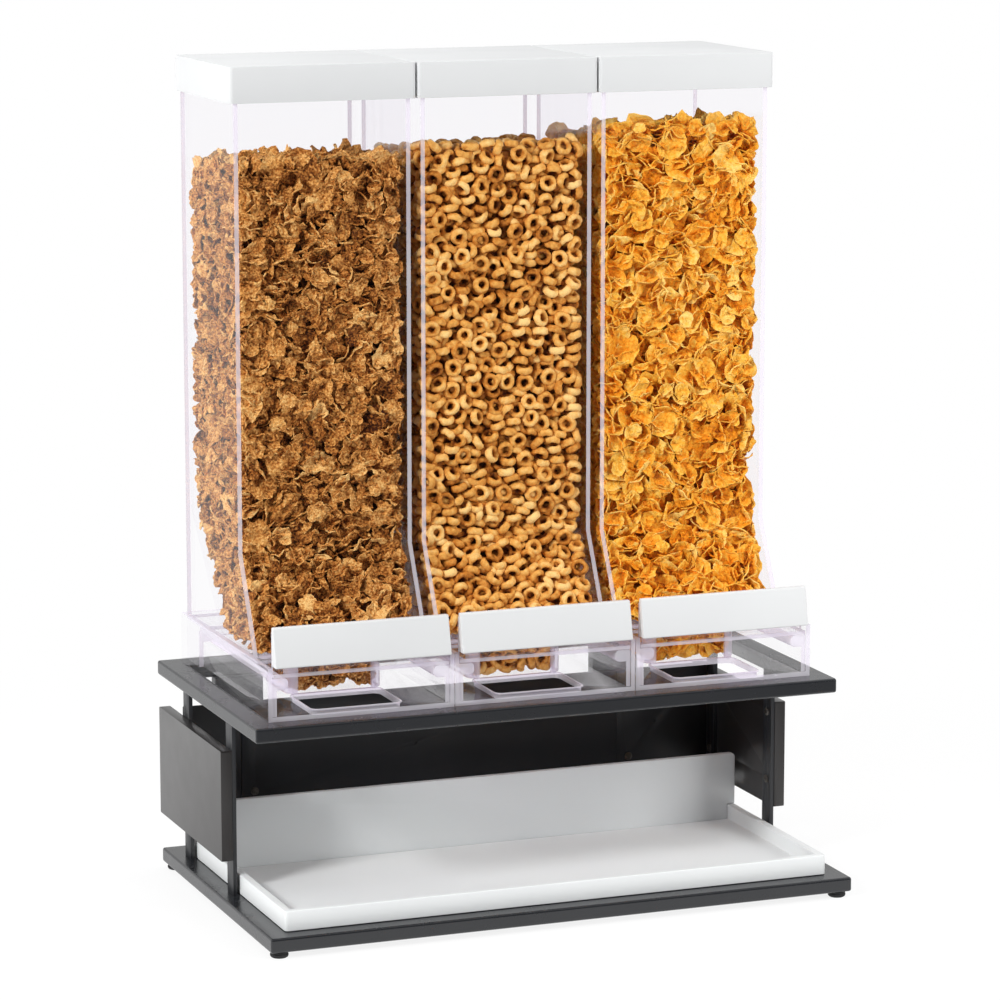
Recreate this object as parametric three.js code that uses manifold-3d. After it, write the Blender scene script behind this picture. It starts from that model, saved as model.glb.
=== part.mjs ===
// A three-bin gravity cereal dispenser on a two-deck stand, in millimetres, +Z up.
// The front, where the portion drawers pull out, faces -Y. The origin is on the surface
// that the feet stand on, below the middle of the object's footprint.
import * as THREE from 'three';
import { mergeVertices } from 'three/addons/utils/BufferGeometryUtils.js';
import Module from 'manifold-3d';

const wasm = await Module();
wasm.setup();

// ---- Driving dimensions: the stand ----
const STAND_WIDTH = 480;
const BASE_DEPTH = 284.5;
const DECK_DEPTH = 259;
const DEPTH = 291; // from the base's front edge to the upper deck's back edge
const RAIL_HEIGHT = 11.5;
const SIDE_RAIL_WIDTH = 18.5;
const END_RAIL_WIDTH = 28.5;
const CORNER_RADIUS = 2;
const DECK_TOP = 170;
const FOOT_HEIGHT = 5;
const FOOT_RADIUS = 7;
const FOOT_INSET = 9;

const POST_WIDTH = 15.5;
const POST_THICKNESS = 3;
const POST_OUTER_X = 229.8;
const FRONT_POST_Y = -12.3;
const BACK_POST_Y = 100.3;

const PANEL_OUTER_X = 239;
const PANEL_EDGE_RADIUS = 1.2;
const PANEL_FRONT_Y = -20.4;
const PANEL_BACK_Y = 145.2;
const PANEL_BOTTOM = 44.3;
const PANEL_TOP = 131.7;

const BACK_SHEET_THICKNESS = 3;
const BACK_SHEET_TOP = 138.3;
const BACK_SEAM_X = [-181.8, 145];
const BACK_UPRIGHT_WIDTH = 40;
const BACK_UPRIGHT_DEPTH = 10;
const BACK_SCREW_OFFSET = 11; // from a seam to the screws of the sheet on its right
const BACK_HOLE_X = [-33.4, 178.7];
const BACK_HOLE_Z = 92.5;
const BACK_HOLE_RADIUS = 2;
const BACK_HOLE_DEPTH = 1.5;

const SCREW_HEAD_RADIUS = 3.4;
const SCREW_HEAD_HEIGHT = 1.2;
const SCREW_SHANK_RADIUS = 1.5;
const PANEL_SCREW_Z = 66.5; // the lower screws
const BACK_SCREW_Z = 64;
const SCREW_SPACING = 56.2; // the upper screw above the lower one
const SCREW_DEPTH = 5.5; // of the shank in what it is driven into

// ---- Driving dimensions: the tray ----
const TRAY_WIDTH = 448.4;
const TRAY_FRONT_Y = -130.7;
const TRAY_BACK_Y = 105.5;
const TRAY_HEIGHT = 15.6;
const TRAY_FLOOR = 3.5;
const TRAY_LIP = 6.3;
const TRAY_CORNER_RADIUS = 3;
const SPLASH_FRONT_Y = 43.3;
const SPLASH_THICKNESS = 6;
const SPLASH_TOP = 75.5;
const SPLASH_RADIUS = 3.5;
const SPLASH_GROOVE = 1.2; // how deep the plate's foot stands in the tray's floor

// ---- Driving dimensions: one dispenser unit, three side by side ----
const SIDES = ['left', 'middle', 'right'];
const UNIT_PITCH = 149.8;
const HOUSING_WIDTH = 149.4;
const HOUSING_FRONT_Y = -95.5;
const HOUSING_BACK_Y = 128.8;
const HOUSING_TOP = 211.5;
const HOUSING_WALL = 3.6;
const HOUSING_FLOOR = 3.8;
const THROAT_PLATE = 2.6;
const THROAT_PLATE_TOP = 209.4;
const THROAT_PLATE_FRONT_Y = -58;

const CHUTE_WIDTH = 72;
const CHUTE_FRONT_Y = -84.5;
const CHUTE_BACK_Y = -30;
const CHUTE_RADIUS = 6;
const CHUTE_RIM_WIDTH = 1.6;
const CHUTE_RIM_HEIGHT = 1;

const GUIDE_WIDTH = 12.5;
const GUIDE_LEG = 3.6;
const GUIDE_HEIGHT = 9.3;
const GUIDE_RADIUS = 3.5;
const GUIDE_BACK_Y = 92;

const DRAWER_PLATE = 3.1;
const DRAWER_FRONT_Y = -95.3;
const DRAWER_BACK_Y = 90;
const DRAWER_STROKE = 55;
const CHAMBER_WALL = 3;
const UPSTAND_FRONT_Y = -90.7;
const UPSTAND_THICKNESS = 3.5;
const UPSTAND_TOP = 238;

const HANDLE_WIDTH = 140.6;
const HANDLE_BOTTOM = 211.9;
const HANDLE_TOP = 242.2;
const HANDLE_TOP_THICKNESS = 4.2;
const HANDLE_BOTTOM_THICKNESS = 11;
const HANDLE_RADIUS = 1.5;

const BIN_WIDTH = 141.6;
const BIN_WALL = 3.6;
const BIN_FRONT_Y = -12.3;
const BIN_BACK_Y = 124.1;
const FRONT_KINK_Z = 283;
const BACK_KINK_Z = 297.9;
const FRONT_FOOT_Y = -48.8; // where the leaning front wall meets the housing
const RAMP_FOOT_Y = 44.6; // where the sloping back wall meets the housing
const BIN_FLANGE = 6;
const BIN_FLANGE_HEIGHT = 2.5;

const LID_WIDTH = 148.7;
const LID_FRONT_Y = -16.4;
const LID_BACK_Y = 127.2;
const LID_BOTTOM = 628.2;
const LID_TOP = 655.7;
const LID_SKIRT = 2.4;
const LID_PLATE = 3.2;
const LID_RADIUS = 3;

const GAP = 0.3; // between pieces that touch or slide on each other
const RUNNING_GAP = 0.4; // either side of a drawer
const ARC_STEPS = 5;

// ---- Worked out from the driving dimensions ----
const BASE_FRONT_Y = -DEPTH / 2;
const BASE_BACK_Y = BASE_FRONT_Y + BASE_DEPTH;
const DECK_BACK_Y = DEPTH / 2;
const DECK_FRONT_Y = DECK_BACK_Y - DECK_DEPTH;
const BASE_TOP = FOOT_HEIGHT + RAIL_HEIGHT;
const DECK_BOTTOM = DECK_TOP - RAIL_HEIGHT;
const POST_INNER_X = POST_OUTER_X - POST_THICKNESS;
const BACK_SHEET_Y = BACK_POST_Y + POST_WIDTH / 2 + GAP;
const PANEL_SCREW_HEIGHTS = [PANEL_SCREW_Z, PANEL_SCREW_Z + SCREW_SPACING];
const BACK_SCREW_HEIGHTS = [BACK_SCREW_Z, BACK_SCREW_Z + SCREW_SPACING];
const TRAY_BOTTOM = BASE_TOP + GAP;
const TRAY_TOP = TRAY_BOTTOM + TRAY_HEIGHT;
const HOUSING_INNER = HOUSING_WIDTH / 2 - HOUSING_WALL;
const HOUSING_FLOOR_TOP = DECK_TOP + HOUSING_FLOOR;
const THROAT_PLATE_BOTTOM = THROAT_PLATE_TOP - THROAT_PLATE;
const DRAWER_PLATE_TOP = THROAT_PLATE_BOTTOM - GAP;
const DRAWER_PLATE_BOTTOM = DRAWER_PLATE_TOP - DRAWER_PLATE;
const GUIDE_TOP = DRAWER_PLATE_BOTTOM - GAP;
const GUIDE_BOTTOM = GUIDE_TOP - GUIDE_HEIGHT;
const CHAMBER_BOTTOM = HOUSING_FLOOR_TOP + CHUTE_RIM_HEIGHT + GAP;
const BIN_BOTTOM = THROAT_PLATE_TOP + GAP;
const BIN_TOP = LID_TOP - LID_PLATE - GAP;

// ---- Materials ----
const finish = (color, roughness, metalness) =>
  new THREE.MeshStandardMaterial({ color, roughness, metalness });
const charcoal = () => finish(0x3b3e42, 0.5, 0.6);
const black = () => finish(0x1b1c1e, 0.55, 0.3);
const white = () => finish(0xeceeee, 0.3, 0);
const clear = () => {
  const material = finish(0xf2eef6, 0.08, 0);
  material.transparent = true;
  material.opacity = 0.35;
  return material;
};
const rubber = () => finish(0x202022, 0.8, 0);
const zinc = () => finish(0x2b2b2a, 0.45, 0.8);

// ---- Geometry helpers ----
function block([x0, x1], [y0, y1], [z0, z1]) {
  const geometry = new THREE.BoxGeometry(x1 - x0, y1 - y0, z1 - z0);
  return geometry.translate((x0 + x1) / 2, (y0 + y1) / 2, (z0 + z1) / 2);
}

// A rectangle with rounded corners; radii go round from the corner of the low ends.
function roundedRectangle([x0, x1], [y0, y1], [r0, r1, r2, r3]) {
  const shape = new THREE.Shape();
  shape.moveTo(x0 + r0, y0);
  shape.lineTo(x1 - r1, y0);
  if (r1) shape.absarc(x1 - r1, y0 + r1, r1, -Math.PI / 2, 0);
  shape.lineTo(x1, y1 - r2);
  if (r2) shape.absarc(x1 - r2, y1 - r2, r2, 0, Math.PI / 2);
  shape.lineTo(x0 + r3, y1);
  if (r3) shape.absarc(x0 + r3, y1 - r3, r3, Math.PI / 2, Math.PI);
  shape.lineTo(x0, y0 + r0);
  if (r0) shape.absarc(x0 + r0, y0 + r0, r0, Math.PI, 1.5 * Math.PI);
  return shape;
}

const even = (radius) => [radius, radius, radius, radius];
const grow = ([low, high], by) => [low - by, high + by];

function extrude(shape, depth) {
  return new THREE.ExtrudeGeometry(shape, { depth, bevelEnabled: false, curveSegments: ARC_STEPS });
}

// A plan drawn in X and Y, standing from z0 to z1.
function upright(shape, [z0, z1]) {
  return extrude(shape, z1 - z0).translate(0, 0, z0);
}

// An outline drawn in Y and Z, running from x0 to x1.
function across(shape, [x0, x1]) {
  const toWorld = new THREE.Matrix4().set(0, 0, 1, x0, 1, 0, 0, 0, 0, 1, 0, 0, 0, 0, 0, 1);
  return extrude(shape, x1 - x0).applyMatrix4(toWorld);
}

// An outline drawn in X and Z, running from y0 to y1.
function lengthwise(shape, [y0, y1]) {
  return extrude(shape, y1 - y0).rotateX(Math.PI / 2).translate(0, y1, 0);
}

const polygon = (points) => new THREE.Shape(points.map(([u, v]) => new THREE.Vector2(u, v)));

function solid(geometry) {
  const bare = geometry.clone();
  bare.deleteAttribute('normal');
  bare.deleteAttribute('uv');
  const merged = mergeVertices(bare, 1e-4);
  return new wasm.Manifold(new wasm.Mesh({
    numProp: 3,
    vertProperties: new Float32Array(merged.attributes.position.array),
    triVerts: new Uint32Array(merged.index.array),
  }));
}

// Joins the first list of geometries and cuts the second list out of the result.
function carve(joined, cuts = []) {
  let body = joined.map(solid).reduce((a, b) => a.add(b));
  for (const cut of cuts) body = body.subtract(solid(cut));
  const mesh = body.getMesh();
  const geometry = new THREE.BufferGeometry();
  geometry.setAttribute('position', new THREE.BufferAttribute(mesh.vertProperties, 3));
  geometry.setIndex(new THREE.BufferAttribute(mesh.triVerts, 1));
  geometry.computeVertexNormals();
  return geometry;
}

const dispenser = new THREE.Group();

function add(parent, name, geometry, material, position = [0, 0, 0]) {
  const mesh = new THREE.Mesh(geometry, material);
  mesh.name = name;
  mesh.position.set(...position);
  parent.add(mesh);
  return mesh;
}

// ---- Stand: two welded decks, posts and feet ----
function endRail(atFront) {
  const corners = atFront ? [CORNER_RADIUS, CORNER_RADIUS, 0, 0] : [0, 0, CORNER_RADIUS, CORNER_RADIUS];
  const plan = roundedRectangle([-STAND_WIDTH / 2, STAND_WIDTH / 2], [0, END_RAIL_WIDTH], corners);
  return upright(plan, [0, RAIL_HEIGHT]);
}

function addDeck(name, frontY, backY, bottom) {
  const sideLength = backY - frontY - 2 * END_RAIL_WIDTH;
  const sideRail = block([-SIDE_RAIL_WIDTH / 2, SIDE_RAIL_WIDTH / 2], [0, sideLength], [0, RAIL_HEIGHT]);
  const sideX = (STAND_WIDTH - SIDE_RAIL_WIDTH) / 2;
  const sideY = frontY + END_RAIL_WIDTH;
  add(dispenser, `${name}_rail_front`, endRail(true), charcoal(), [0, frontY, bottom]);
  add(dispenser, `${name}_rail_back`, endRail(false), charcoal(), [0, backY - END_RAIL_WIDTH, bottom]);
  add(dispenser, `${name}_rail_left`, sideRail, charcoal(), [-sideX, sideY, bottom]);
  add(dispenser, `${name}_rail_right`, sideRail.clone(), charcoal(), [sideX, sideY, bottom]);
}

function drill(radius, length) {
  return new THREE.CylinderGeometry(radius, radius, length, 20);
}

// A flat upright bar with a clear hole for each of its two screws.
function post() {
  const bar = block([0, POST_THICKNESS], [-POST_WIDTH / 2, POST_WIDTH / 2], [BASE_TOP, DECK_BOTTOM]);
  const holes = PANEL_SCREW_HEIGHTS.map((height) =>
    drill(SCREW_SHANK_RADIUS + GAP, 4 * POST_THICKNESS).rotateZ(Math.PI / 2).translate(0, 0, height));
  return carve([bar], holes);
}

function addPosts() {
  for (const [depthName, y] of [['front', FRONT_POST_Y], ['back', BACK_POST_Y]]) {
    add(dispenser, `post_${depthName}_left`, post(), charcoal(), [-POST_OUTER_X, y, 0]);
    add(dispenser, `post_${depthName}_right`, post(), charcoal(), [POST_INNER_X, y, 0]);
  }
}

function addFeet() {
  const x = STAND_WIDTH / 2 - FOOT_INSET;
  const places = {
    front_left: [-x, BASE_FRONT_Y + FOOT_INSET],
    front_right: [x, BASE_FRONT_Y + FOOT_INSET],
    back_left: [-x, BASE_BACK_Y - FOOT_INSET],
    back_right: [x, BASE_BACK_Y - FOOT_INSET],
  };
  const r = FOOT_RADIUS;
  const profile = [[0, 0], [r - 1, 0], [r, 1.2], [r, FOOT_HEIGHT], [0, FOOT_HEIGHT]];
  for (const [place, [footX, footY]] of Object.entries(places)) {
    const foot = new THREE.LatheGeometry(profile.map(([u, v]) => new THREE.Vector2(u, v)), 28);
    add(dispenser, `foot_${place}`, foot.rotateX(Math.PI / 2), rubber(), [footX, footY, 0]);
  }
}

// ---- Side panels: a board on the outside of each pair of posts, screwed on from inside ----
function addSidePanels() {
  const innerX = POST_OUTER_X + GAP;
  for (const [side, sign] of [['left', -1], ['right', 1]]) {
    const sockets = [];
    for (const y of [FRONT_POST_Y, BACK_POST_Y]) {
      for (const z of PANEL_SCREW_HEIGHTS) {
        const socket = drill(SCREW_SHANK_RADIUS + GAP, 2 * (SCREW_DEPTH + 2 * GAP));
        sockets.push(socket.rotateZ(Math.PI / 2).translate(sign * innerX, y, z));
      }
    }
    const spanX = sign < 0 ? [-PANEL_OUTER_X, -innerX] : [innerX, PANEL_OUTER_X];
    const outline = roundedRectangle([PANEL_FRONT_Y, PANEL_BACK_Y], [PANEL_BOTTOM, PANEL_TOP],
      even(PANEL_EDGE_RADIUS));
    add(dispenser, `side_panel_${side}`, carve([across(outline, spanX)], sockets), charcoal());
  }
}

// ---- Back: three sheets side by side, screwed to an upright bar behind each seam ----
const UPRIGHT_Y = BACK_SHEET_Y + BACK_SHEET_THICKNESS + GAP;
const BACK_SCREW_X = BACK_SEAM_X.map((seam) => seam + BACK_SCREW_OFFSET);

function backScrewHoles(x, depth) {
  const radius = SCREW_SHANK_RADIUS + GAP;
  return BACK_SCREW_HEIGHTS.map((z) => drill(radius, 2 * depth).translate(x, BACK_SHEET_Y, z));
}

function addBack() {
  const edges = [-POST_OUTER_X, ...BACK_SEAM_X, POST_OUTER_X];
  ['left', 'middle', 'right'].forEach((side, i) => {
    const sheet = block([edges[i] + GAP / 2, edges[i + 1] - GAP / 2],
      [BACK_SHEET_Y, BACK_SHEET_Y + BACK_SHEET_THICKNESS], [PANEL_BOTTOM, BACK_SHEET_TOP]);
    const inSheet = (x) => x > edges[i] && x < edges[i + 1];
    const holes = BACK_SCREW_X.filter(inSheet).flatMap((x) => backScrewHoles(x, 2 * BACK_SHEET_THICKNESS));
    for (const x of BACK_HOLE_X.filter(inSheet)) {
      holes.push(drill(BACK_HOLE_RADIUS, 2 * BACK_HOLE_DEPTH).translate(x, BACK_SHEET_Y, BACK_HOLE_Z));
    }
    add(dispenser, `back_sheet_${side}`, carve([sheet], holes), black());
  });
  const socketDepth = BACK_SHEET_THICKNESS + SCREW_DEPTH + 2 * GAP;
  BACK_SEAM_X.forEach((seam, i) => {
    const bar = block([seam - BACK_UPRIGHT_WIDTH / 2, seam + BACK_UPRIGHT_WIDTH / 2],
      [UPRIGHT_Y, UPRIGHT_Y + BACK_UPRIGHT_DEPTH], [BASE_TOP, DECK_BOTTOM]);
    const sockets = backScrewHoles(BACK_SCREW_X[i], socketDepth);
    add(dispenser, `back_upright_${['left', 'right'][i]}`, carve([bar], sockets), charcoal());
  });
}

// ---- Screws: a pan head and a plain shank, modelled along +Y from under the head ----
function screw(length) {
  const r = SCREW_HEAD_RADIUS;
  const s = SCREW_SHANK_RADIUS;
  const h = SCREW_HEAD_HEIGHT;
  const profile = [[0, -h], [r * 0.7, -h], [r, -h * 0.45], [r, 0], [s, 0], [s, length], [0, length]];
  return new THREE.LatheGeometry(profile.map(([radius, y]) => new THREE.Vector2(radius, y)), 20);
}

function addScrews() {
  const levels = ['lower', 'upper'];
  for (const [side, sign] of [['left', -1], ['right', 1]]) {
    for (const [depthName, y] of [['front', FRONT_POST_Y], ['back', BACK_POST_Y]]) {
      PANEL_SCREW_HEIGHTS.forEach((z, i) => {
        const piece = screw(POST_THICKNESS + GAP + SCREW_DEPTH).rotateZ(-sign * Math.PI / 2);
        const x = sign * (POST_INNER_X - GAP / 2);
        add(dispenser, `panel_screw_${depthName}_${side}_${levels[i]}`, piece, zinc(), [x, y, z]);
      });
    }
  }
  BACK_SCREW_X.forEach((x, column) => {
    BACK_SCREW_HEIGHTS.forEach((z, i) => {
      const piece = screw(BACK_SHEET_THICKNESS + GAP + SCREW_DEPTH);
      const name = `back_screw_${['left', 'right'][column]}_${levels[i]}`;
      add(dispenser, name, piece, zinc(), [x, BACK_SHEET_Y - GAP / 2, z]);
    });
  });
}

// ---- Tray: a low-lipped board; its upright splash plate stands in a groove across the floor ----
function addTray() {
  const half = TRAY_WIDTH / 2;
  const outline = roundedRectangle([-half, half], [TRAY_FRONT_Y, TRAY_BACK_Y], even(TRAY_CORNER_RADIUS));
  const innerX = [-half + TRAY_LIP, half - TRAY_LIP];
  const innerY = [TRAY_FRONT_Y + TRAY_LIP, TRAY_BACK_Y - TRAY_LIP];
  const inner = block(innerX, innerY, [TRAY_FLOOR, 2 * TRAY_HEIGHT]);
  const spanY = [SPLASH_FRONT_Y, SPLASH_FRONT_Y + SPLASH_THICKNESS];
  const groove = block(innerX, grow(spanY, GAP), [TRAY_FLOOR - SPLASH_GROOVE, 2 * TRAY_HEIGHT]);
  const board = carve([upright(outline, [0, TRAY_HEIGHT])], [inner, groove]);
  add(dispenser, 'tray', board, white(), [0, 0, TRAY_BOTTOM]);

  const foot = half - TRAY_LIP - GAP;
  const footZ = TRAY_BOTTOM + TRAY_FLOOR - SPLASH_GROOVE + GAP;
  const shoulder = TRAY_TOP + GAP;
  const topCorners = [0, 0, SPLASH_RADIUS, SPLASH_RADIUS];
  const upper = roundedRectangle([-half, half], [shoulder, SPLASH_TOP], topCorners);
  const lower = roundedRectangle([-foot, foot], [footZ, shoulder + 1], even(0));
  add(dispenser, 'tray_splash_plate', carve([lengthwise(upper, spanY), lengthwise(lower, spanY)]), white());
}

// ---- One dispenser unit, drawn about its own centre plane ----
const CHUTE_SPAN_X = [-CHUTE_WIDTH / 2, CHUTE_WIDTH / 2];
const CHUTE_SPAN_Y = [CHUTE_FRONT_Y, CHUTE_BACK_Y];

// The same rounded hole through the chute, the chamber, the drawer's plate and the throat plate.
function chuteOutline(margin, setBack) {
  const spanY = CHUTE_SPAN_Y.map((y) => y + setBack);
  return roundedRectangle(grow(CHUTE_SPAN_X, margin), grow(spanY, margin), even(CHUTE_RADIUS + margin));
}

// The drawer guide is an L: a flange the drawer plate slides on, with a leg down the wall.
function guide(sign) {
  const wall = HOUSING_INNER + HOUSING_WALL / 2;
  const flange = roundedRectangle([HOUSING_INNER - GUIDE_WIDTH, wall], [GUIDE_BOTTOM, GUIDE_TOP],
    [GUIDE_RADIUS, 0, 0, GUIDE_RADIUS]);
  const leg = roundedRectangle([HOUSING_INNER - GUIDE_LEG, wall], [DECK_TOP + 1, GUIDE_BOTTOM + 1], even(0));
  const spanY = [HOUSING_FRONT_Y + 1, GUIDE_BACK_Y];
  const pieces = [lengthwise(flange, spanY), lengthwise(leg, spanY)];
  const turned = (piece) => piece.rotateZ(Math.PI).translate(0, spanY[0] + spanY[1], 0);
  return sign > 0 ? pieces : pieces.map(turned);
}

// A clear box, open at the front and the top: floor with a rimmed chute, walls and drawer guides.
function housing() {
  const half = HOUSING_WIDTH / 2;
  const spanY = [HOUSING_FRONT_Y, HOUSING_BACK_Y];
  const spanZ = [DECK_TOP, HOUSING_TOP];
  return carve([
    block([-half, half], spanY, [DECK_TOP, HOUSING_FLOOR_TOP]),
    upright(chuteOutline(CHUTE_RIM_WIDTH, 0), [DECK_TOP, HOUSING_FLOOR_TOP + CHUTE_RIM_HEIGHT]),
    block([-half, -HOUSING_INNER], spanY, spanZ),
    block([HOUSING_INNER, half], spanY, spanZ),
    block([-half, half], [HOUSING_BACK_Y - HOUSING_WALL, HOUSING_BACK_Y], spanZ),
    ...guide(-1),
    ...guide(1),
  ], [upright(chuteOutline(0, 0), [DECK_TOP - 1, HOUSING_FLOOR_TOP + 2 * CHUTE_RIM_HEIGHT])]);
}

// The fixed plate over the drawer that the bin stands on, with the hole that the food falls through.
function throatPlate() {
  const half = HOUSING_INNER - GAP;
  const spanY = [THROAT_PLATE_FRONT_Y, HOUSING_BACK_Y - HOUSING_WALL - GAP];
  const plan = roundedRectangle([-half, half], spanY, even(0));
  plan.holes.push(chuteOutline(0, DRAWER_STROKE));
  return upright(plan, [THROAT_PLATE_BOTTOM, THROAT_PLATE_TOP]);
}

// The sliding plate: a hole over the chamber below it, and an upstand for the handle in front.
function drawer() {
  const half = HOUSING_INNER - RUNNING_GAP;
  return carve([
    block([-half, half], [DRAWER_FRONT_Y, DRAWER_BACK_Y], [DRAWER_PLATE_BOTTOM, DRAWER_PLATE_TOP]),
    block([-HANDLE_WIDTH / 2 + 1, HANDLE_WIDTH / 2 - 1],
      [UPSTAND_FRONT_Y, UPSTAND_FRONT_Y + UPSTAND_THICKNESS], [DRAWER_PLATE_BOTTOM, UPSTAND_TOP]),
  ], [upright(chuteOutline(0, DRAWER_STROKE), [DRAWER_PLATE_BOTTOM - 1, DRAWER_PLATE_TOP + 1])]);
}

// A bottomless box under the sliding plate, which holds one portion and carries it to the chute.
function chamber() {
  const walls = chuteOutline(CHAMBER_WALL, DRAWER_STROKE);
  walls.holes.push(chuteOutline(0, DRAWER_STROKE));
  return upright(walls, [CHAMBER_BOTTOM, DRAWER_PLATE_BOTTOM - GAP]);
}

// The handle is a wedge: upright behind, its face leaning back towards the top.
function handle() {
  const back = UPSTAND_FRONT_Y - GAP;
  const topFront = back - HANDLE_TOP_THICKNESS;
  const bottomFront = back - HANDLE_BOTTOM_THICKNESS;
  const r = HANDLE_RADIUS;
  const outline = new THREE.Shape();
  outline.moveTo(back, HANDLE_BOTTOM);
  outline.lineTo(back, HANDLE_TOP);
  outline.lineTo(topFront + r, HANDLE_TOP);
  outline.quadraticCurveTo(topFront, HANDLE_TOP, topFront - r * 0.2, HANDLE_TOP - r);
  outline.lineTo(bottomFront + r * 0.2, HANDLE_BOTTOM + r);
  outline.quadraticCurveTo(bottomFront, HANDLE_BOTTOM, bottomFront + r, HANDLE_BOTTOM);
  return across(outline, [-HANDLE_WIDTH / 2, HANDLE_WIDTH / 2]);
}

// A tall clear hopper. Its side walls run straight down to the housing at the back; between
// them the front wall leans forward below its kink and the back wall slopes down as a ramp.
function bin() {
  const half = BIN_WIDTH / 2;
  const inner = [-half + BIN_WALL, half - BIN_WALL];
  const outline = polygon([
    [FRONT_FOOT_Y, BIN_BOTTOM], [BIN_BACK_Y, BIN_BOTTOM], [BIN_BACK_Y, BIN_TOP],
    [BIN_FRONT_Y, BIN_TOP], [BIN_FRONT_Y, FRONT_KINK_Z],
  ]);
  const frontSlope = (BIN_FRONT_Y - FRONT_FOOT_Y) / (FRONT_KINK_Z - BIN_BOTTOM);
  const rampSlope = (BIN_BACK_Y - RAMP_FOOT_Y) / (BACK_KINK_Z - BIN_BOTTOM);
  const frontShift = BIN_WALL * Math.hypot(1, frontSlope);
  const rampShift = BIN_WALL * Math.hypot(1, rampSlope);
  const below = BIN_BOTTOM - 10;
  const innerFrontKink = FRONT_KINK_Z + (BIN_WALL - frontShift) / frontSlope;
  const innerBackKink = BACK_KINK_Z + (rampShift - BIN_WALL) / rampSlope;
  const frontAt = (z) => BIN_FRONT_Y + frontShift - (FRONT_KINK_Z - z) * frontSlope;
  const rampAt = (z) => BIN_BACK_Y - rampShift - (BACK_KINK_Z - z) * rampSlope;
  const cavity = polygon([
    [frontAt(below), below], [rampAt(below), below],
    [BIN_BACK_Y - BIN_WALL, innerBackKink], [BIN_BACK_Y - BIN_WALL, BIN_TOP + 10],
    [BIN_FRONT_Y + BIN_WALL, BIN_TOP + 10], [BIN_FRONT_Y + BIN_WALL, innerFrontKink],
  ]);
  const behindRamp = polygon([
    [rampAt(below) + rampShift, below], [BIN_BACK_Y + 10, below],
    [BIN_BACK_Y + 10, BACK_KINK_Z], [BIN_BACK_Y, BACK_KINK_Z],
  ]);
  const flange = block(inner, [FRONT_FOOT_Y - BIN_FLANGE, FRONT_FOOT_Y + 1],
    [BIN_BOTTOM, BIN_BOTTOM + BIN_FLANGE_HEIGHT]);
  return carve([across(outline, [-half, half]), flange], [across(cavity, inner), across(behindRamp, inner)]);
}

// A shallow lift-off lid whose skirt goes over the outside of the bin.
function lid() {
  const half = LID_WIDTH / 2;
  const spanY = [LID_FRONT_Y, LID_BACK_Y];
  const outer = roundedRectangle([-half, half], spanY, even(LID_RADIUS));
  const inner = roundedRectangle([-half + LID_SKIRT, half - LID_SKIRT], grow(spanY, -LID_SKIRT), even(1));
  return carve([upright(outer, [LID_BOTTOM, LID_TOP])],
    [upright(inner, [LID_BOTTOM - 1, LID_TOP - LID_PLATE])]);
}

function addUnits() {
  SIDES.forEach((side, i) => {
    const unit = new THREE.Group();
    unit.position.x = (i - 1) * UNIT_PITCH;
    add(unit, `housing_${side}`, housing(), clear());
    add(unit, `throat_plate_${side}`, throatPlate(), clear());
    add(unit, `drawer_${side}`, drawer(), clear());
    add(unit, `drawer_chamber_${side}`, chamber(), clear());
    add(unit, `drawer_handle_${side}`, handle(), white());
    add(unit, `bin_${side}`, bin(), clear());
    add(unit, `lid_${side}`, lid(), white());
    dispenser.add(unit);
  });
}

addDeck('base', BASE_FRONT_Y, BASE_BACK_Y, FOOT_HEIGHT);
addDeck('deck', DECK_FRONT_Y, DECK_BACK_Y, DECK_BOTTOM);
addPosts();
addFeet();
addSidePanels();
addBack();
addScrews();
addTray();
addUnits();

export default dispenser;
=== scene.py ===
"""Looks of a three-bin gravity cereal dispenser with white lids, on a dark two-deck stand."""

import math

import bmesh
import bpy
import numpy as np
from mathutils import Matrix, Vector

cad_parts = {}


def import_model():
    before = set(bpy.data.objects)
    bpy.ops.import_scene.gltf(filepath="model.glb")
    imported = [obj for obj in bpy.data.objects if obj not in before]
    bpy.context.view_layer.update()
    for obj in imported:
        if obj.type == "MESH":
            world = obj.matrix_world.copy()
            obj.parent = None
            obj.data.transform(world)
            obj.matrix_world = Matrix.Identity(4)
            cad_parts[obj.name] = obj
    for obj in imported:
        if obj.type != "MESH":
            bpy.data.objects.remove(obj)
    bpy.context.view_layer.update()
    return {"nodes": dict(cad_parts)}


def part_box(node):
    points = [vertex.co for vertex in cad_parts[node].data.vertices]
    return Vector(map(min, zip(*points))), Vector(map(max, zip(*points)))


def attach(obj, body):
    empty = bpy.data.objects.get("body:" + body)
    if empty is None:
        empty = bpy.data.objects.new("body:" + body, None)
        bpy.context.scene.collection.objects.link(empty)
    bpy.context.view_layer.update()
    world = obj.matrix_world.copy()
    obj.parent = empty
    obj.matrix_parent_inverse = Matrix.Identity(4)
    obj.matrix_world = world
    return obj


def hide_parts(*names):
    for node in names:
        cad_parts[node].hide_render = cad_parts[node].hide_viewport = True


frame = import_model()

MM = 0.001
SIDES = ("left", "middle", "right")
SEED = 20

# ---- Camera and floor ----
CAMERA_PLACE = (-1.1473, -2.9558, 0.8817)
CAMERA_TURN = math.radians(21.2)  # to the right of +Y
CAMERA_TILT = math.radians(-10.23)
CAMERA_LENS = 147.55  # millimetres, over a frame 36 mm wide
FLOOR_RADIUS = 40

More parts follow.
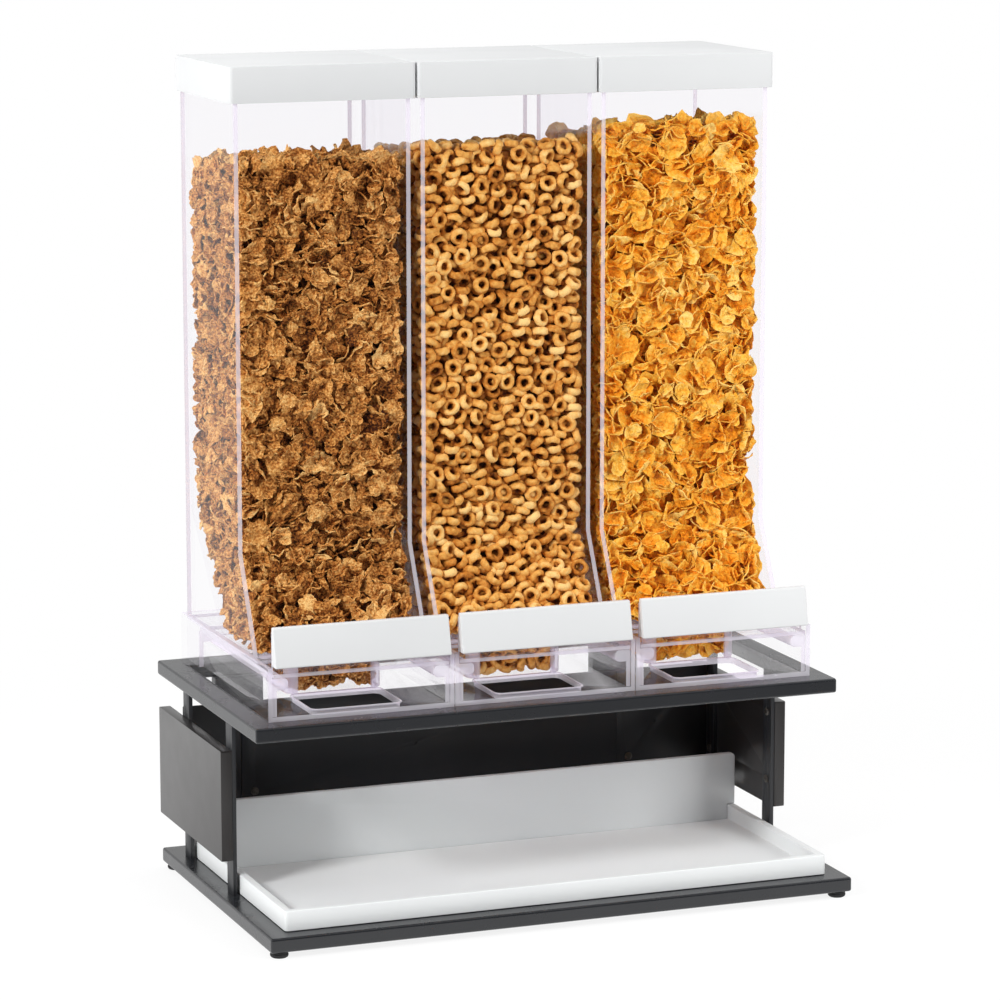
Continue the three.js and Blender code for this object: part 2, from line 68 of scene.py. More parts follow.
# ---- Sizes that the frame's boxes don't give, in metres ----
BIN_WALL = 3.6 * MM
LIP_HEIGHT = 2.5 * MM  # of the strip at the foot of a bin's front
GLUE_LINE = 0.12 * MM
SAWN_EDGE = 4.6 * MM  # a clear sheet's faces narrower than this are its sawn edges
BIN_SAWN_EDGE = 5 * MM  # the same for the sheets of the bins
HEAD_HEIGHT = 1.2 * MM  # how far a screw's head stands out
CHAMBER_WALL = 3 * MM
NEAR = 0.02 * MM  # how far apart two points of one edge may be
MERGED = 0.002 * MM  # how far apart two corners of the CAD mesh may be and count as one
FLAT = math.radians(0.8)  # the bend between two faces that count as one flat face
SHARP = math.radians(35)  # the bend at an edge that is rounded

# ---- Food ----
CONTENT_CLEARANCE = 0.35 * MM  # between the food and the walls
SLOPED_CLEARANCE = 1.3 * CONTENT_CLEARANCE  # the same along Y, where the walls slope
SLOPED_REACH = 1.06  # how much further a piece of food reaches along Y to a sloping wall
PORTION_TRIES = 2500  # places tried for the food in a chamber
SHAPES = 40  # different flakes or rings of each food
FALL = 25 * MM  # how far back a pile's surface runs as it falls by its unevenness
PAINTED_SHADE_DEPTH = 12 * MM  # how deep in the pile the painted shade on the food is at its fullest
WHOLE_TURN = 6.3  # radians, for a random phase


# ==== Small helpers for node trees ====
def new_material(name, roughness=0.5, metallic=0.0, specular=0.5):
    """A material with its node tree and its shader."""
    material = bpy.data.materials.new(name)
    material.use_nodes = True
    shader = material.node_tree.nodes["Principled BSDF"]
    shader.inputs["Roughness"].default_value = roughness
    shader.inputs["Metallic"].default_value = metallic
    shader.inputs["Specular IOR Level"].default_value = specular
    return material, material.node_tree, shader


def noise(tree, scale, detail=3.0):
    """A noise pattern over the object's own coordinates; scale is in features per metre."""
    place = tree.nodes.new("ShaderNodeTexCoord")
    texture = tree.nodes.new("ShaderNodeTexNoise")
    texture.inputs["Scale"].default_value = scale
    texture.inputs["Detail"].default_value = detail
    tree.links.new(place.outputs["Object"], texture.inputs["Vector"])
    return texture.outputs["Fac"]


def map_range(tree, factor, start, end, low, high):
    """A node whose result runs from low to high as the factor runs from start to end."""
    spread = tree.nodes.new("ShaderNodeMapRange")
    values = {"From Min": start, "From Max": end, "To Min": low, "To Max": high}
    for socket, value in values.items():
        spread.inputs[socket].default_value = value
    tree.links.new(factor, spread.inputs["Value"])
    return spread


def between(tree, factor, low, high):
    """A number that runs from low to high as the factor runs through the middle of a noise."""
    return map_range(tree, factor, 0.3, 0.7, low, high).outputs["Result"]


def colours(tree, factor, stops):
    """A colour ramp: stops are (position, (r, g, b))."""
    ramp = tree.nodes.new("ShaderNodeValToRGB")
    elements = ramp.color_ramp.elements
    while len(elements) < len(stops):
        elements.new(0.5)
    for element, (position, colour) in zip(elements, stops):
        element.position = position
        element.color = (*colour, 1)
    tree.links.new(factor, ramp.inputs["Fac"])
    return ramp.outputs["Color"]


def mottle(tree, shader, pattern, dark, light):
    """Gives a shader a colour that wanders between two as a noise does."""
    tree.links.new(colours(tree, pattern, [(0.3, dark), (0.7, light)]), shader.inputs["Base Color"])


def uneven_sheen(tree, shader, pattern, low, high):
    """Gives a shader a roughness that wanders between two as a noise does."""
    tree.links.new(between(tree, pattern, low, high), shader.inputs["Roughness"])


def bump(tree, shader, height, distance, strength):
    """Gives a shader small relief: the distance is its depth in metres."""
    node = tree.nodes.new("ShaderNodeBump")
    node.inputs["Strength"].default_value = strength
    node.inputs["Distance"].default_value = distance
    tree.links.new(height, node.inputs["Height"])
    tree.links.new(node.outputs["Normal"], shader.inputs["Normal"])


# ==== Materials ====
def powder_coat(name, dark, light, roughness):
    """Painted metal or board: even, with a fine grain that only shows in its sheen."""
    material, tree, shader = new_material(name, roughness, specular=0.7)
    mottle(tree, shader, noise(tree, 14, 4), dark, light)
    uneven_sheen(tree, shader, noise(tree, 60), roughness - 0.01, roughness + 0.02)
    bump(tree, shader, noise(tree, 1300, 2), 0.01 * MM, 0.3)
    return material


def white_plastic(name, dark, light, roughness):
    """Moulded plastic that light enters a little way."""
    material, tree, shader = new_material(name, roughness)
    shader.inputs["Subsurface Weight"].default_value = 0.08
    shader.inputs["Subsurface Radius"].default_value = (4 * MM, 4 * MM, 4 * MM)
    mottle(tree, shader, noise(tree, 9), dark, light)
    uneven_sheen(tree, shader, noise(tree, 30), roughness - 0.02, roughness + 0.03)
    bump(tree, shader, noise(tree, 900, 1), 0.02 * MM, 0.2)
    return material


def facing_share(tree, least, most):
    """How much a clear surface mirrors: least head on, rising to most at a glancing angle."""
    layer = tree.nodes.new("ShaderNodeLayerWeight")
    layer.inputs["Blend"].default_value = 0.5
    power = tree.nodes.new("ShaderNodeMath")
    power.operation = "POWER"
    power.inputs[1].default_value = 5.0
    scale = tree.nodes.new("ShaderNodeMath")
    scale.operation = "MULTIPLY_ADD"
    scale.inputs[1].default_value = most - least
    scale.inputs[2].default_value = least
    tree.links.new(layer.outputs["Facing"], power.inputs[0])
    tree.links.new(power.outputs[0], scale.inputs[0])
    return scale.outputs[0]


def seen_through(material, tree, shader, tint, least, most):
    """Mixes the shader over a clear one, by more at a glancing angle."""
    through = tree.nodes.new("ShaderNodeBsdfTransparent")
    through.inputs["Color"].default_value = (*tint, 1)
    mix = tree.nodes.new("ShaderNodeMixShader")
    tree.links.new(facing_share(tree, least, most), mix.inputs["Fac"])
    tree.links.new(through.outputs[0], mix.inputs[1])
    tree.links.new(shader.outputs[0], mix.inputs[2])
    tree.links.new(mix.outputs[0], tree.nodes["Material Output"].inputs["Surface"])
    return material


def clear_face():
    """Polished clear sheet: what is behind it shows through, and it mirrors what is around it."""
    material, tree, plain = new_material("clear_acrylic_face")
    tree.nodes.remove(plain)
    gloss = tree.nodes.new("ShaderNodeBsdfGlossy")
    gloss.inputs["Color"].default_value = (1, 1, 1, 1)
    uneven_sheen(tree, gloss, noise(tree, 45), 0.015, 0.05)
    bump(tree, gloss, noise(tree, 14, 1), 0.2 * MM, 0.12)
    return seen_through(material, tree, gloss, (0.986, 0.983, 0.989), 0.006, 0.36)


def clear_edge():
    """The sawn edge of a clear sheet: its lilac tint is the sheet's own, and its pale brightness is
    painted light for the light that the sheet gathers into its edges.
    """
    material, tree, shader = new_material("clear_acrylic_edge", 0.25, specular=0.6)
    # Painted light: the pale colour stands in for the light that the edge gathers.
    mottle(tree, shader, noise(tree, 30), (0.86, 0.83, 0.91), (0.94, 0.925, 0.97))
    bump(tree, shader, noise(tree, 700, 2), 0.04 * MM, 0.4)
    return seen_through(material, tree, shader, (0.885, 0.82, 0.925), 0.42, 0.9)


def rubber():
    """Dark rubber with a fine rough grain."""
    material, tree, shader = new_material("foot_rubber", 0.75, specular=0.4)
    mottle(tree, shader, noise(tree, 120), (0.012, 0.012, 0.013), (0.024, 0.024, 0.025))
    bump(tree, shader, noise(tree, 2200, 2), 0.05 * MM, 0.6)
    return material


def blackened_steel():
    """Dark uneven metal for the screws."""
    material, tree, shader = new_material("blackened_steel", 0.38, metallic=0.85)
    mottle(tree, shader, noise(tree, 500), (0.09, 0.082, 0.072), (0.20, 0.185, 0.165))
    uneven_sheen(tree, shader, noise(tree, 900), 0.3, 0.5)
    return material


def cereal(name, stops, blister_colour_and_shade, grain, relief, roughness):
    """Toasted food: each piece has its own tone, darker deep in the pile as painted shade; the colour
    is pale on the raised blisters and darker where the relief is low, partly mottling and partly
    painted shade.
    """
    material, tree, shader = new_material(name, roughness, specular=0.3)
    tone = tree.nodes.new("ShaderNodeAttribute")
    tone.attribute_name = "tone"
    # The same noise gives the relief and the colour: paler on raised blisters, darker where the relief
    # is low, partly the food's mottling and partly painted shade.
    blisters = noise(tree, grain, 4)
    level = tree.nodes.new("ShaderNodeMath")
    level.operation = "SUBTRACT"
    level.inputs[1].default_value = 0.5
    add = tree.nodes.new("ShaderNodeMath")
    add.operation = "MULTIPLY_ADD"
    add.inputs[1].default_value = blister_colour_and_shade
    tree.links.new(blisters, level.inputs[0])
    tree.links.new(level.outputs[0], add.inputs[0])
    tree.links.new(tone.outputs["Fac"], add.inputs[2])
    tree.links.new(colours(tree, add.outputs[0], stops), shader.inputs["Base Color"])
    bump(tree, shader, blisters, relief, 1.0)
    return material


POWDER = powder_coat(
    "charcoal_powder_coat", (0.010, 0.011, 0.0135), (0.013, 0.014, 0.0168), 0.26)
POST_COAT = powder_coat(
    "charcoal_post_coat", (0.011, 0.012, 0.0145), (0.015, 0.016, 0.019), 0.42)
PANEL_COAT = powder_coat(
    "charcoal_panel_coat", (0.0165, 0.014, 0.0135), (0.0195, 0.017, 0.0165), 0.3)
BLACK = powder_coat(
    "satin_black_coat", (0.0075, 0.008, 0.0095), (0.0105, 0.011, 0.0130), 0.45)
WHITE = white_plastic(
    "white_gloss_plastic", (0.645, 0.652, 0.657), (0.67, 0.677, 0.68), 0.32)
TRAY_WHITE = white_plastic(
    "white_satin_plastic", (0.74, 0.755, 0.758), (0.765, 0.78, 0.78), 0.42)
# Painted shade: the splash plate's white is darker than the tray's, for the shade that the deck above
# casts on it.
SHADED_SPLASH_PLASTIC = white_plastic(
    "splash_white_painted_shade", (0.62, 0.64, 0.645), (0.65, 0.665, 0.67), 0.3)
CLEAR = clear_face()
CLEAR_EDGE = clear_edge()
RUBBER = rubber()
STEEL = blackened_steel()
BRAN = cereal(
    "bran_flake",
    [(0.05, (0.05, 0.011, 0.003)), (0.35, (0.36, 0.118, 0.020)),
     (0.62, (0.70, 0.325, 0.080)), (0.95, (0.95, 0.60, 0.22))],
    blister_colour_and_shade=1.6, grain=560, relief=2.0 * MM, roughness=0.5)
OAT = cereal(
    "oat_ring",
    [(0.05, (0.12, 0.026, 0.003)), (0.35, (0.54, 0.195, 0.027)),
     (0.62, (0.80, 0.405, 0.090)), (0.95, (0.95, 0.64, 0.24))],
    blister_colour_and_shade=0.8, grain=330, relief=0.5 * MM, roughness=0.42)
CORN = cereal(
    "corn_flake",
    [(0.05, (0.30, 0.055, 0.002)), (0.35, (0.84, 0.28, 0.010)),
     (0.62, (0.95, 0.50, 0.055)), (0.95, (1.0, 0.72, 0.21))],
    blister_colour_and_shade=0.9, grain=420, relief=1.3 * MM, roughness=0.38)


# ==== Turning meshes into pieces ====
def mesh_of(name, shape):
    """A mesh with the faces of a bmesh, which is freed."""
    mesh = bpy.data.meshes.new(name)
    shape.to_mesh(mesh)
    shape.free()
    return mesh


def finish_piece(piece, body, nodes, materials):
    """Gives a piece its materials and its body, and hides the CAD nodes that it stands for, if any."""
    for material in materials:
        piece.data.materials.append(material)
    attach(piece, body)
    if nodes:
        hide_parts(*nodes)


def link(name, mesh):
    """A piece in the scene."""
    piece = bpy.data.objects.new(name, mesh)
    bpy.context.scene.collection.objects.link(piece)
    return piece


def apply_modifiers(piece):
    """Makes what a piece's modifiers show its own mesh."""
    bpy.context.view_layer.update()
    evaluated = piece.evaluated_get(bpy.context.evaluated_depsgraph_get())
    baked = bpy.data.meshes.new_from_object(evaluated)
    piece.modifiers.clear()
    piece.data = baked


def round_edges(piece, width, segments):
    """Rounds every sharp edge, and shades the result smooth between flat faces."""
    modifier = piece.modifiers.new("round", "BEVEL")
    modifier.width = width
    modifier.segments = segments
    modifier.limit_method = "ANGLE"
    modifier.angle_limit = SHARP
    modifier.harden_normals = True
    piece.data.polygons.foreach_set("use_smooth", [True] * len(piece.data.polygons))
    apply_modifiers(piece)


def clean_copy(node):
    """The CAD node's mesh with its flat faces whole again, as a bmesh."""
    copy = bmesh.new()
    copy.from_mesh(frame["nodes"][node].data)
    bmesh.ops.remove_doubles(copy, verts=copy.verts, dist=MERGED)
    bmesh.ops.dissolve_limit(copy, angle_limit=FLAT, verts=copy.verts, edges=copy.edges)
    return copy


def narrow(face, limit):
    """True for a long thin face, such as the sawn edge of a sheet, bent round or not."""
    return 2 * face.calc_area() / face.calc_perimeter() < limit


def softened(name, node, body, width, materials, segments=2):
    """A CAD node with rounded edges. Of two materials, the second goes on the narrow faces."""
    copy = clean_copy(node)
    if len(materials) > 1:
        for face in copy.faces:
            face.material_index = int(narrow(face, SAWN_EDGE))
    piece = link(name, mesh_of(name, copy))
    finish_piece(piece, body, [node], materials)
    round_edges(piece, width, segments)


def revolve(profile, steps):
    """A closed solid turned about Z from (radius, height) points that start and end on the axis."""
    solid = bmesh.new()
    rings = []
    for radius, height in profile:
        if radius < 1e-7:
            rings.append([solid.verts.new((0, 0, height))])
            continue
        turns = [2 * math.pi * k / steps for k in range(steps)]
        places = [(radius * math.cos(turn), radius * math.sin(turn), height) for turn in turns]
        rings.append([solid.verts.new(place) for place in places])
    for low, high in zip(rings, rings[1:]):
        for k in range(steps):
            after = k + 1
            below = [low[k % len(low)], low[after % len(low)]]
            above = [high[after % len(high)], high[k % len(high)]]
            solid.faces.new(list(dict.fromkeys(below + above)))
    bmesh.ops.recalc_face_normals(solid, faces=solid.faces)
    return solid


def prism(solid, outline, x0, x1):
    """Adds a closed prism to a bmesh: the outline in (y, z) runs from x0 to x1."""
    near = [solid.verts.new((x0, y, z)) for y, z in outline]
    far = [solid.verts.new((x1, y, z)) for y, z in outline]
    solid.faces.new(near)
    solid.faces.new(far[::-1])
    for k in range(len(outline)):
        after = (k + 1) % len(outline)
        solid.faces.new((near[k], far[k], far[after], near[after]))


# ==== Stand ====
def deck_frame(name):
    """The four welded rails of a deck as one coated frame with no seams."""
    rails = [f"{name}_rail_{place}" for place in ("front", "back", "left", "right")]
    boxes = {rail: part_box(rail) for rail in rails}
    (x0, y0, z0), (_, front_inner, _) = boxes[rails[0]]
    (_, back_inner, _), (x1, y1, z1) = boxes[rails[1]]
    inner = ((boxes[rails[2]][1][0], front_inner), (boxes[rails[3]][0][0], back_inner))
    loops = []
    ring = bmesh.new()
    for (ax, ay), (bx, by) in (((x0, y0), (x1, y1)), inner):
        corners = ((ax, ay), (bx, ay), (bx, by), (ax, by))
        for z in (z0, z1):
            loops.append([ring.verts.new((x, y, z)) for x, y in corners])
    outer_low, outer_high, inner_low, inner_high = loops
    around = [outer_low, outer_high, inner_high, inner_low, outer_low]
    for a, b in zip(around, around[1:]):
        for k in range(4):
            after = (k + 1) % 4
            ring.faces.new((a[k], a[after], b[after], b[k]))
    bmesh.ops.recalc_face_normals(ring, faces=ring.faces)
    piece = link(f"{name}_frame", mesh_of(name, ring))
    finish_piece(piece, "stand", rails, [POWDER])
    round_edges(piece, 2 * MM, 4)


def screw_mesh():
    """A pan head with a cross recess, its axis along Z and its top upwards, one unit of radius."""
    profile = [(0, -0.05), (1, -0.05), (1, 0.06), (0.93, 0.2), (0.72, 0.31), (0.4, 0.36), (0, 0.37)]
    piece = link("screw_head", mesh_of("screw_head", revolve(profile, 32)))
    cutters = []
    for long_way in ((0.62, 0.13), (0.13, 0.62)):
        bar = bmesh.new()
        bmesh.ops.create_cube(bar, size=2)
        bmesh.ops.scale(bar, vec=(*long_way, 0.14), verts=bar.verts)
        bmesh.ops.translate(bar, vec=(0, 0, 0.32), verts=bar.verts)
        cutters.append(link("recess", mesh_of("recess", bar)))
        cut = piece.modifiers.new("recess", "BOOLEAN")
        cut.operation = "DIFFERENCE"
        cut.solver = "EXACT"
        cut.object = cutters[-1]
    apply_modifiers(piece)
    result = piece.data
    for helper in (piece, *cutters):
        bpy.data.objects.remove(helper)
    return result


def screws():
    """The heads of the screws, flat against the posts and the back sheets."""
    head = screw_mesh()
    for node in sorted(n for n in frame["nodes"] if "screw" in n):
        low, high = (Vector(corner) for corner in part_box(node))
        sideways = node.startswith("panel")
        radius = (high.z - low.z) / 2
        inwards = -math.copysign(1, low.x + high.x)
        towards = Vector((inwards, 0, 0)) if sideways else Vector((0, -1, 0))
        seat = (low + high) / 2
        if sideways:
            seat.x = (low.x if inwards < 0 else high.x) - inwards * HEAD_HEIGHT
        else:
            seat.y = low.y + HEAD_HEIGHT
        turn = towards.to_track_quat("Z", "Y").to_matrix().to_4x4()
        mesh = head.copy()
        mesh.transform(turn)
        for vertex in mesh.vertices:
            vertex.co = seat + vertex.co * radius
        finish_piece(link(f"{node}_head", mesh), "stand", [node], [STEEL])


def feet():
    """Turned rubber feet with a groove round them."""
    for node in sorted(n for n in frame["nodes"] if n.startswith("foot")):
        low, high = (Vector(corner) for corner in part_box(node))
        r = (high.x - low.x) / 2
        h = high.z - low.z
        profile = [
            (0, 0), (r * 0.8, 0), (r * 0.93, h * 0.12), (r, h * 0.3), (r, h * 0.55),
            (r * 0.94, h * 0.6), (r * 0.94, h * 0.72), (r, h * 0.77), (r, h * 0.97), (0, h * 0.97)]
        solid = revolve(profile, 48)
        centre = ((low.x + high.x) / 2, (low.y + high.y) / 2, low.z)
        bmesh.ops.translate(solid, vec=centre, verts=solid.verts)
        piece = link(f"{node}_pad", mesh_of(node, solid))
        finish_piece(piece, "stand", [node], [RUBBER])
        round_edges(piece, 0.25 * MM, 2)


def stand():
    """The two decks with what joins them, and the feet."""
    for deck in ("base", "deck"):
        deck_frame(deck)
    for node in sorted(frame["nodes"]):
        if node.startswith("post") or node.startswith("back_upright"):
            softened(f"{node}_bar", node, "stand", 0.5 * MM, [POST_COAT])
        elif node.startswith("side_panel"):
            softened(f"{node}_board", node, "stand", 1.1 * MM, [PANEL_COAT], 3)
        elif node.startswith("back_sheet"):
            softened(f"{node}_panel", node, "stand", 0.6 * MM, [BLACK])
    screws()
    feet()


# ==== Tray ====
def tray():
    """The tray with its lip, and the splash plate that stands in it."""
    softened("tray_board", "tray", "tray_slide", 0.7 * MM, [TRAY_WHITE], 4)
    softened("tray_splash", "tray_splash_plate", "tray_slide", 0.8 * MM, [SHADED_SPLASH_PLASTIC], 3)


# ==== Dispenser units ====
class BinShape:
    """The walls of a bin as lines: where its front and its back are at a height."""

    def __init__(self, side):
        low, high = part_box(f"bin_{side}")
        points = [vertex.co for vertex in frame["nodes"][f"bin_{side}"].data.vertices]
        self.x0, self.x1 = low[0], high[0]
        self.bottom, self.top, self.back = low[2], high[2], high[1]
        self.lip = low[1]
        cheek = [p for p in points if p.x < low[0] + NEAR]
        self.front_foot = min(p.y for p in cheek)
        self.front = min(p.y for p in cheek if p.z > self.top - NEAR)
        self.front_kink = min(p.z for p in cheek if abs(p.y - self.front) < NEAR)
        at_back = [p for p in points if abs(p.y - self.back) < NEAR]
        at_bottom = [p for p in points if p.z < self.bottom + NEAR]
        self.back_kink = max(p.z for p in at_back if p.z < self.top - NEAR)
        self.ramp_foot = max(p.y for p in at_bottom if p.y < self.back - NEAR)
        self.front_slope = (self.front - self.front_foot) / (self.front_kink - self.bottom)
        self.ramp_slope = (self.back - self.ramp_foot) / (self.back_kink - self.bottom)
        self.front_depth = BIN_WALL * math.hypot(1, self.front_slope)
        self.ramp_depth = BIN_WALL * math.hypot(1, self.ramp_slope)
        self.outline = [
            (self.front_foot, self.bottom), (self.back, self.bottom), (self.back, self.top),
            (self.front, self.top), (self.front, self.front_kink)]

    def front_inside(self, z):
        """How far forward the food can lie at a height."""
        sloped = self.front_foot + self.front_depth + (z - self.bottom) * self.front_slope
        return np.minimum(self.front + BIN_WALL, sloped)

    def back_inside(self, z):
        """How far back the food can lie at a height."""
        sloped = self.ramp_foot - self.ramp_depth + (z - self.bottom) * self.ramp_slope
        return np.minimum(self.back - BIN_WALL, sloped)


def bin_walls(side):
    """The bin as its glued sheets: two cheeks, and a bent front, a bent back and a lip between."""
    shape = BinShape(side)
    w, line = BIN_WALL, GLUE_LINE
    bottom, top = shape.bottom, shape.top
    kink_in = shape.front_kink + (w - shape.front_depth) / shape.front_slope
    back_in = shape.back_kink + (shape.ramp_depth - w) / shape.ramp_slope
    solid = bmesh.new()
    prism(solid, shape.outline, shape.x0, shape.x0 + w)
    prism(solid, shape.outline, shape.x1 - w, shape.x1)
    front_sheet = [
        (shape.front_foot, bottom), (shape.front_foot + shape.front_depth, bottom),
        (shape.front + w, kink_in), (shape.front + w, top),
        (shape.front, top), (shape.front, shape.front_kink)]
    back_sheet = [
        (shape.ramp_foot - shape.ramp_depth, bottom), (shape.ramp_foot, bottom),
        (shape.back, shape.back_kink), (shape.back, top),
        (shape.back - w, top), (shape.back - w, back_in)]
    lip = [
        (shape.lip, bottom), (shape.front_foot - line, bottom),
        (shape.front_foot - line, bottom + LIP_HEIGHT), (shape.lip, bottom + LIP_HEIGHT)]
    for sheet in (front_sheet, back_sheet, lip):
        prism(solid, sheet, shape.x0 + w + line, shape.x1 - w - line)
    bmesh.ops.recalc_face_normals(solid, faces=solid.faces)
    for face in solid.faces:
        sideways = abs(face.normal.x) > 0.5
        face.material_index = int(not sideways and narrow(face, BIN_SAWN_EDGE))
    piece = link(f"bin_{side}_sheets", mesh_of(f"bin_{side}", solid))
    finish_piece(piece, f"bin_lift_{side}", [f"bin_{side}"], [CLEAR, CLEAR_EDGE])
    round_edges(piece, 0.3 * MM, 2)


def unit(side):
    """One dispenser: its housing, throat plate, drawer, lid and bin."""
    drawer = f"drawer_slide_{side}"
    clear_pieces = (
        ("housing", "shell", "stand", 0.3 * MM),
        ("throat_plate", "sheet", "stand", 0.25 * MM),
        ("drawer", "slider", drawer, 0.3 * MM),
        ("drawer_chamber", "box", drawer, 0.3 * MM))
    white_pieces = (
        ("drawer_handle", "cover", drawer, 1.7 * MM),
        ("lid", "cap", f"lid_lift_{side}", 1.4 * MM))
    for part, kind, body, width in clear_pieces:
        node = f"{part}_{side}"
        softened(f"{node}_{kind}", node, body, width, [CLEAR, CLEAR_EDGE])
    for part, kind, body, width in white_pieces:
        node = f"{part}_{side}"
        softened(f"{node}_{kind}", node, body, width, [WHITE], 4)
    bin_walls(side)


# ==== Contents ====
def waves(rng, count, lowest, highest):
    """Random plane waves: each one's direction times its pitch, and its phase."""
    angle = rng.uniform(0, 2 * math.pi, count)
    pitch = rng.uniform(lowest, highest, count)
    phases = rng.uniform(0, 2 * math.pi, count)
    return np.stack([np.cos(angle) * pitch, np.sin(angle) * pitch], 1), phases


def leaf_grid(count):
    """A square grid pressed into a unit disc: points, distances from the middle, faces and border."""
    line = np.linspace(-1, 1, count)
    u, v = (axis.ravel() for axis in np.meshgrid(line, line, indexing="ij"))
    reach = np.maximum(abs(u), abs(v))
    disc = np.stack([u, v], 1) * (reach / np.maximum(np.hypot(u, v), 1e-9))[:, None]
    index = np.arange(count * count).reshape(count, count)
    corners = [index[:-1, :-1], index[1:, :-1], index[1:, 1:], index[:-1, 1:]]
    faces = np.stack(corners, -1).reshape(-1, 4)
    border = np.concatenate([index[:-1, 0], index[-1, :-1], index[:0:-1, -1], index[0, :0:-1]])
    return disc, reach, faces, border


def flake_shape(rng, curl, crumple, ragged, crackle, thickness, narrowest):
    """A thin closed leaf of unit radius: points, faces and how near each point is to the rim."""
    disc, reach, faces, border = leaf_grid(8)
    angle = np.arctan2(disc[:, 1], disc[:, 0])
    rim = sum(
        np.sin(k * angle + rng.uniform(0, WHOLE_TURN)) / math.sqrt(k) for k in (2, 3, 5, 7, 9))
    flat = disc * (1 + ragged * rim * reach ** 2)[:, None] * (1, rng.uniform(narrowest, 1))
    axes, phases = waves(rng, 9, 2.5, 9.0)
    height = crumple * np.sin(flat @ axes.T + phases).sum(1) / 3
    along = rng.uniform(0, math.pi)
    height += curl * rng.uniform(0.3, 1.4) * (flat @ (math.cos(along), math.sin(along))) ** 2
    height += curl * 0.5 * (flat ** 2).sum(1) * rng.uniform(-0.4, 1)
    leaf = np.column_stack([flat, height - height.mean()])
    leaf += rng.normal(0, crackle, leaf.shape) * (0.5, 0.5, 1)
    lift = (0, 0, thickness / 2)
    count, after = len(leaf), np.roll(border, -1)
    edge = np.stack([border + count, after + count, after, border], 1)
    faces = np.concatenate([faces, faces[:, ::-1] + count, edge])
    return np.concatenate([leaf + lift, leaf - lift]), faces, np.tile(reach ** 4, 2)


def ring_shape(rng):
    """A puffed ring of unit outer radius: points, faces and how near each point is to the hole."""
    around, across, half_width, half_height = 18, 9, 0.315, 0.45
    turn, tilt = np.meshgrid(np.linspace(0, 2 * math.pi, around, endpoint=False),
        np.linspace(0, 2 * math.pi, across, endpoint=False), indexing="ij")

    def swell(count, share):
        return share * np.sin(count * turn + rng.uniform(0, WHOLE_TURN))

    uneven = 1 + swell(2, 0.05) + swell(3, 0.03)
    puff = 1 + swell(4, 0.07) + swell(7, 0.05)
    reach = (1 - half_width) * uneven + half_width * puff * np.cos(tilt)
    height = half_height * puff * np.sin(tilt)
    points = np.stack([reach * np.cos(turn), reach * np.sin(turn), height], -1).reshape(-1, 3)
    here = np.arange(around * across).reshape(around, across)
    ahead = np.roll(here, -1, 0)
    corners = [here, ahead, np.roll(ahead, -1, 1), np.roll(here, -1, 1)]
    faces = np.stack(corners, -1).reshape(-1, 4)
    # Near the hole a ring is given a darker tone, partly as toasting and partly as painted shade.
    return points, faces, (0.5 - 0.5 * np.cos(tilt)).ravel() ** 2


class Pile:
    """The space that food fills in a bin or a chamber, and the way its surface lies."""

    def __init__(self, x0, x1, bottom, surface, front, back, unevenness, rng):
        """The front and the back are functions of the height."""
        self.x0, self.x1, self.bottom, self.surface = x0, x1, bottom, surface
        self.front, self.back = front, back
        self.unevenness = unevenness
        self.middle = float(front(surface) + back(surface)) / 2
        self.axes, self.phases = waves(rng, 4, 25, 75)

    def top(self, points):
        """The height of the surface, which falls away towards the back."""
        swell = np.sin(points[:, :2] @ self.axes.T + self.phases).sum(1) / 2
        return self.surface + self.unevenness * (swell - (points[:, 1] - self.middle) / FALL)

    def gaps(self, points):
        """Distances to the six sides, inwards positive."""
        x, y, z = points.T
        return np.stack([x - self.x0, self.x1 - x, y - self.front(z), self.back(z) - y,
            self.top(points) - z, z - self.bottom], 1)

    def settle(self, points):
        """Moves one piece of food bodily inwards until it clears the walls."""
        c = CONTENT_CLEARANCE
        x, y, z = points.T
        points[:, 0] += max(0, self.x0 + c - x.min()) - max(0, x.max() - self.x1 + c)
        points[:, 2] += max(0, self.bottom + c - z.min())
        points[:, 1] += max(0, (self.front(z) - y).max() + SLOPED_CLEARANCE)
        points[:, 1] -= max(0, (y - self.back(z)).max() + SLOPED_CLEARANCE)
        return points

    def squeeze(self, points):
        """Presses points into a space that is low for the food, such as a portion chamber."""
        c = CONTENT_CLEARANCE
        points[:, 0] = np.clip(points[:, 0], self.x0 + c, self.x1 - c)
        points[:, 2] = np.clip(points[:, 2], self.bottom + c, self.surface - c)
        z = points[:, 2]
        points[:, 1] = np.clip(points[:, 1], self.front(z) + c, self.back(z) - c)
        return points


WALL_NORMALS = np.array([[-1, 0, 0], [1, 0, 0], [0, -1, 0], [0, 1, 0], [0, 0, 1], [0, 0, -1]], float)


def half_depth(axis, size, toward, wide, thick):
    """How far a piece of food, as a flat ellipsoid, reaches from its middle in a direction."""
    lean = axis[0] * toward[0] + axis[1] * toward[1] + axis[2] * toward[2]
    return size / math.sqrt(lean * lean / thick ** 2 + (1 - lean * lean) / wide ** 2)


def apart(one, other, food, crowding):
    """True if two pieces of food, each a (place, axis, size), keep enough room between them."""
    step = [b - a for a, b in zip(one[0], other[0])]
    distance = math.hypot(*step)
    if distance < 1e-9:
        return False
    toward = [part / distance for part in step]
    wide, thick = food["radius"], food["half_thickness"]
    near_half = half_depth(one[1], one[2], toward, wide, thick)
    far_half = half_depth(other[1], other[2], toward, wide, thick)
    return distance > crowding * (near_half + far_half)


